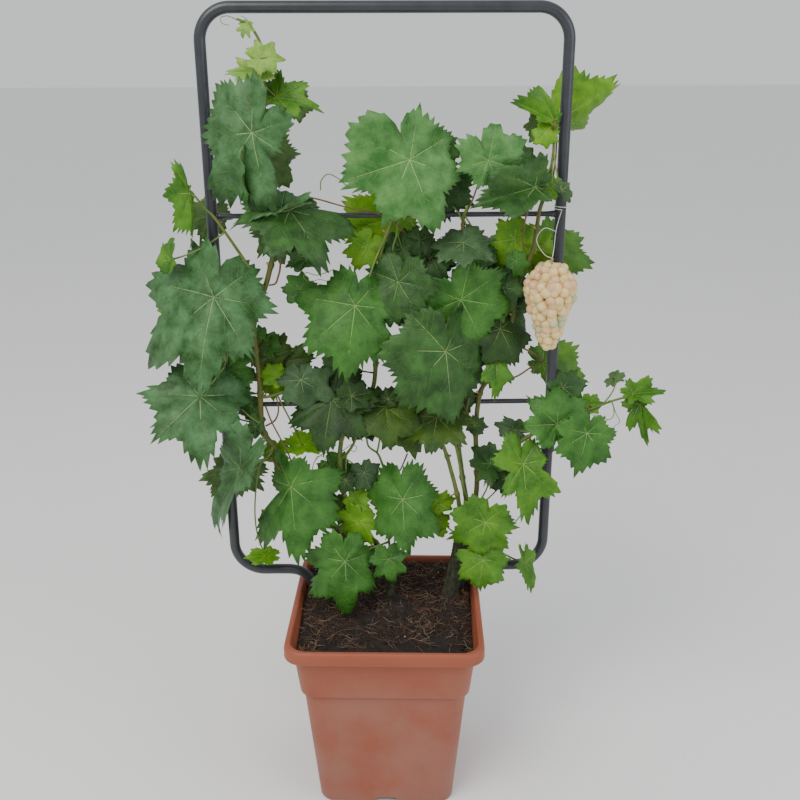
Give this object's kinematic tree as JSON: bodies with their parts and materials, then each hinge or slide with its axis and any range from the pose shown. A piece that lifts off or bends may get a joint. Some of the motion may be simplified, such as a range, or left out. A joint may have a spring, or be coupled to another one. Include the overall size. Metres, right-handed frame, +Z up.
{
  "type": "potted grapevine",
  "caption": "Young grapevine with broad lobed leaves and a bunch of pale grapes, trained over a tubular trellis in a square plastic pot.",
  "frame": {"origin": "middle of the pot's flat underside", "axes": "+Z up, +X to the right of someone facing the side with the grapes, +Y away from them"},
  "size_m": [0.6771, 0.27, 1.0407],
  "materials": {
    "terracotta_plastic": "moulded, slightly scuffed",
    "potting_mix": "loose and fibrous",
    "coated_steel": "satin plastic coating",
    "old_bark": "rough",
    "cane_bark": "smooth, ridged",
    "grape_skin": "smooth with a bloom",
    "white_string": "twisted",
    "leaf_blue_green": "matt leaf",
    "leaf_mid_green": "matt leaf",
    "leaf_bright_green": "matt leaf",
    "leaf_dark_green": "matt leaf"
  },
  "bodies": {
    "root": {"pot": "terracotta_plastic", "potting_mix": "potting_mix", "trellis_top": "coated_steel", "trellis_upright_left": "coated_steel", "trellis_upright_right": "coated_steel", "trellis_foot_left": "coated_steel", "trellis_foot_right": "coated_steel", "trellis_bar_upper": "coated_steel", "trellis_bar_lower": "coated_steel", "trunk_right": "old_bark", "trunk_left": "old_bark", "cane_left": "cane_bark", "cane_centre": "cane_bark", "cane_centre_right": "cane_bark", "cane_right": "cane_bark", "cane_far_right": "cane_bark", "cane_front": "cane_bark", "grape_bunch": "grape_skin", "bunch_string": "white_string", "leaves_left": "leaf_blue_green", "leaves_heart": "leaf_blue_green", "leaves_centre": "leaf_mid_green", "leaves_top_centre": "leaf_bright_green", "leaves_centre_right": "leaf_mid_green", "leaves_low_left": "leaf_mid_green", "leaves_foot_centre": "leaf_mid_green", "leaves_foot_right": "leaf_bright_green", "leaves_low_right": "leaf_bright_green", "leaves_far_right": "leaf_bright_green", "leaves_left_inner": "leaf_dark_green", "leaves_inner_low": "leaf_dark_green", "leaves_shoulder_left": "leaf_dark_green", "leaves_side_left": "leaf_bright_green", "leaves_top_left": "leaf_bright_green", "leaves_top_right": "leaf_bright_green", "leaves_right_back": "leaf_bright_green", "leaves_right": "leaf_dark_green"}
  },
  "joints": []
}
